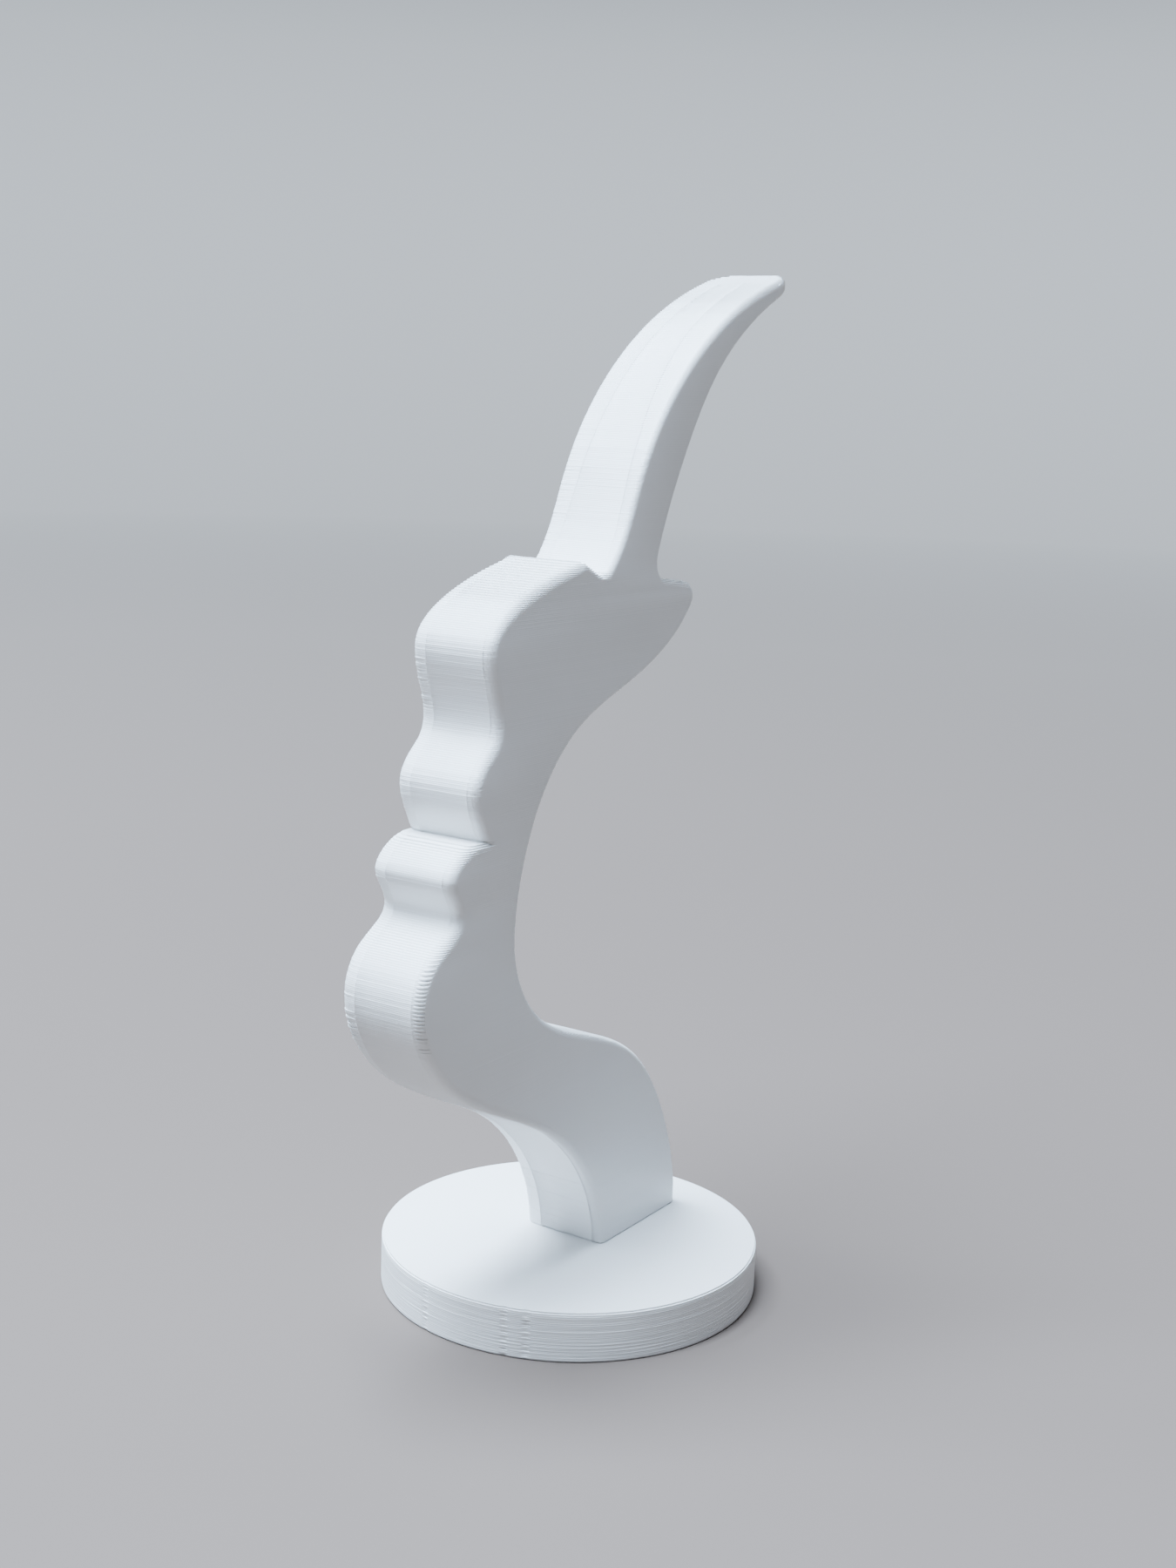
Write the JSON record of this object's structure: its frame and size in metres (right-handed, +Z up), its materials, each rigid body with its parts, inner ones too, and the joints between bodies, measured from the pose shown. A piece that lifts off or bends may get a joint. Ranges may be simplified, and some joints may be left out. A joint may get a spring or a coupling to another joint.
{
  "type": "eyeglasses display stand",
  "caption": "Slim S-curved face-profile stand on a round base; a saddle behind the nose and a ledge behind a swept-back horn carry a pair of spectacles.",
  "frame": {"origin": "centre of the round base's underside", "axes": "+Z up, -Y the way the face profile looks, +X to the face's left side; the stand is symmetric about the YZ plane"},
  "size_m": [0.05, 0.0805, 0.1333],
  "materials": {
    "printed_base": "white printed plastic, smooth satin, fine layer lines round the rim",
    "printed_upright": "white printed plastic, satin, fine horizontal layer lines"
  },
  "bodies": {
    "root": {"base": "printed_base", "upright": "printed_upright"}
  },
  "joints": []
}
